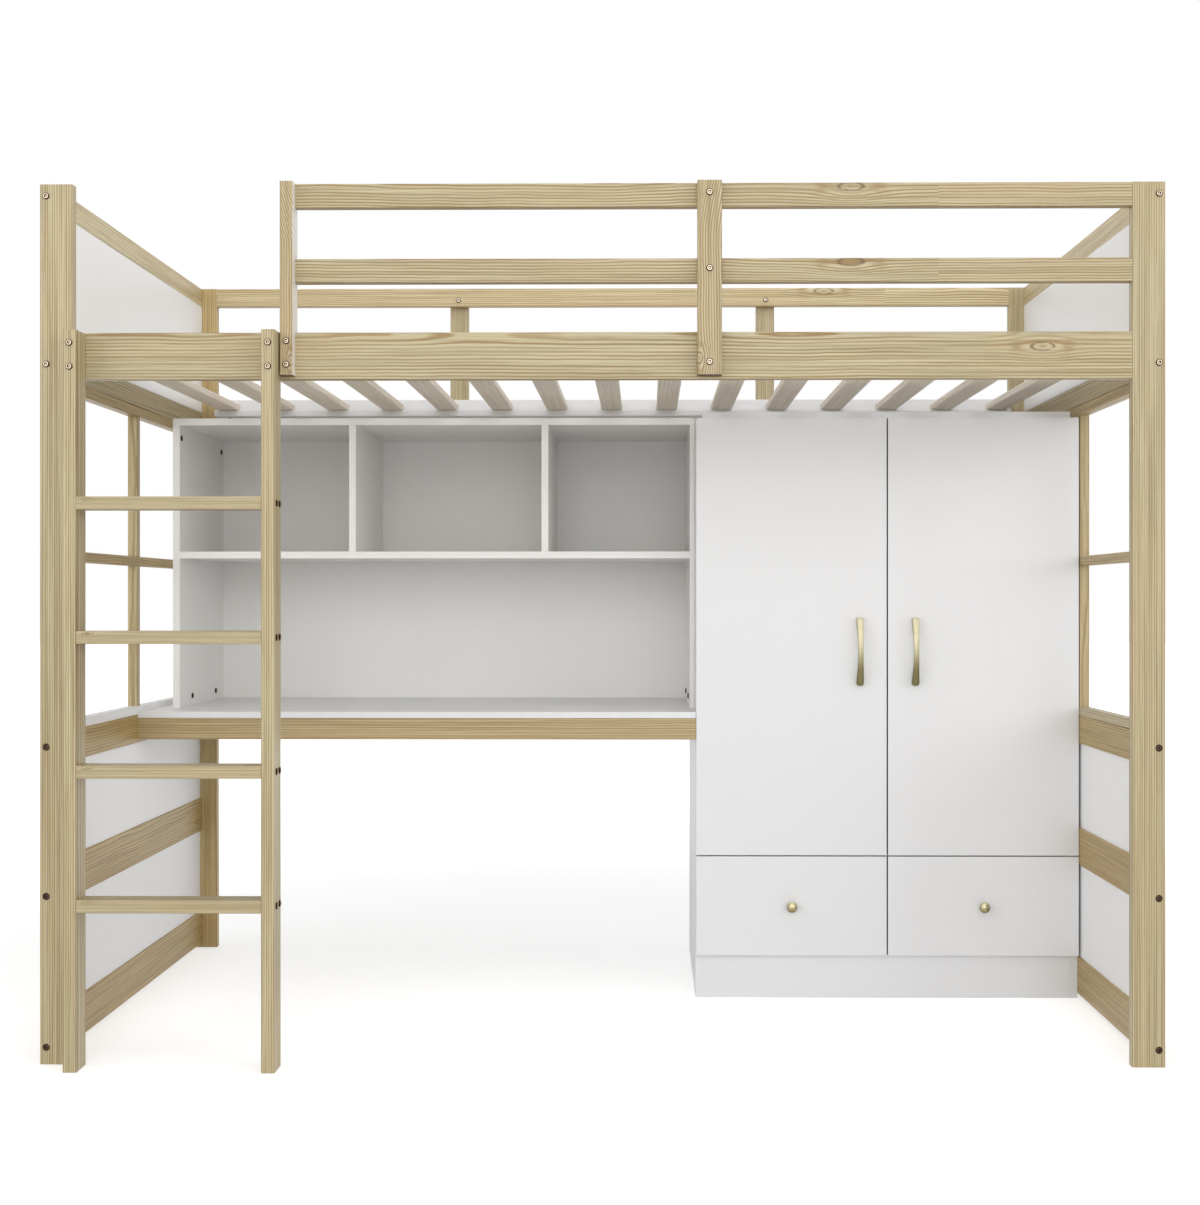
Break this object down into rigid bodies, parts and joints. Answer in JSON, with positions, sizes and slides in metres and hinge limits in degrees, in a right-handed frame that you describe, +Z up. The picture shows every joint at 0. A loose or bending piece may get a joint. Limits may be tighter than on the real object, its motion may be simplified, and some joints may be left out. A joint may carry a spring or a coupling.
{
  "type": "loft bed",
  "caption": "High single loft bed in pine and white board with an upright ladder, a desk and shelf unit, and a wardrobe with hinged doors and drawers underneath",
  "frame": {"origin": "on the floor under the middle of the overall box", "axes": "+X runs along the bed from the desk end to the wardrobe end, +Y runs from the ladder side to the wall side, +Z up"},
  "size_m": [2.01, 1.15, 1.576],
  "materials": {
    "pine": "natural pine, clear satin lacquer",
    "white_board": "white melamine-faced chipboard, satin",
    "slat_wood": "raw planed softwood",
    "gold_metal": "brushed pale gold plating, satin",
    "zinc_steel": "bright zinc plate",
    "copper_metal": "copper-bronze plated bolt heads, satin",
    "dark_steel": "black zinc plate"
  },
  "bodies": {
    "frame": {"post_front_left": "pine", "post_front_right": "pine", "post_rear_left": "pine", "post_rear_right": "pine", "side_rail_front": "pine", "guard_rail_top": "pine", "guard_rail_middle": "pine", "guard_post": "pine", "guard_board_front": "pine", "guard_rail_rear": "pine", "guard_boards_rear": "pine", "end_top_rails": "pine", "end_slat_rails": "pine", "window_bars": "pine", "window_uprights": "pine", "window_sill_right": "pine", "end_low_rails": "pine", "ladder_stile_left": "pine", "ladder_stile_right": "pine", "ladder_rungs": "pine", "desk_aprons": "pine", "side_rail_rear": "white_board", "slat_ledges": "white_board", "end_high_panels": "white_board", "window_sill_left": "white_board", "end_low_panels": "white_board", "desk_top": "white_board", "shelf_unit_sides": "white_board", "shelf_unit_top": "white_board", "shelf_unit_shelf": "white_board", "shelf_unit_dividers": "white_board", "shelf_unit_back": "white_board", "wardrobe_sides": "white_board", "wardrobe_top": "white_board", "wardrobe_decks": "white_board", "wardrobe_drawer_divider": "white_board", "wardrobe_plinth": "white_board", "wardrobe_back": "white_board", "slats": "slat_wood", "clothes_rail": "zinc_steel", "hinge_arms": "zinc_steel", "slide_channels": "zinc_steel", "frame_bolts": "copper_metal", "sunk_bolts": "dark_steel", "bolt_nuts": "dark_steel", "screws": "dark_steel"},
    "door_left": {"door_left": "white_board", "door_handle_left": "gold_metal", "hinge_cups_left": "zinc_steel"},
    "door_right": {"door_right": "white_board", "door_handle_right": "gold_metal", "hinge_cups_right": "zinc_steel"},
    "drawer_left": {"drawer_front_left": "white_board", "drawer_box_left": "white_board", "drawer_knob_left": "gold_metal", "slide_rails_left": "zinc_steel"},
    "drawer_right": {"drawer_front_right": "white_board", "drawer_box_right": "white_board", "drawer_knob_right": "gold_metal", "slide_rails_right": "zinc_steel"}
  },
  "joints": [
    {"name": "door_left_hinge", "type": "hinge", "parent": "frame", "child": "door_left", "pos_m": [0.186, 0.005, 0.7555], "axis": [0, 0, -1], "range_deg": [0, 100]},
    {"name": "door_right_hinge", "type": "hinge", "parent": "frame", "child": "door_right", "pos_m": [0.981, 0.005, 0.7555], "axis": [0, 0, 1], "range_deg": [0, 90]},
    {"name": "drawer_left_slide", "type": "slide", "parent": "frame", "child": "drawer_left", "axis": [0, -1, 0], "range_m": [0, 0.35]},
    {"name": "drawer_right_slide", "type": "slide", "parent": "frame", "child": "drawer_right", "axis": [0, -1, 0], "range_m": [0, 0.35]}
  ]
}
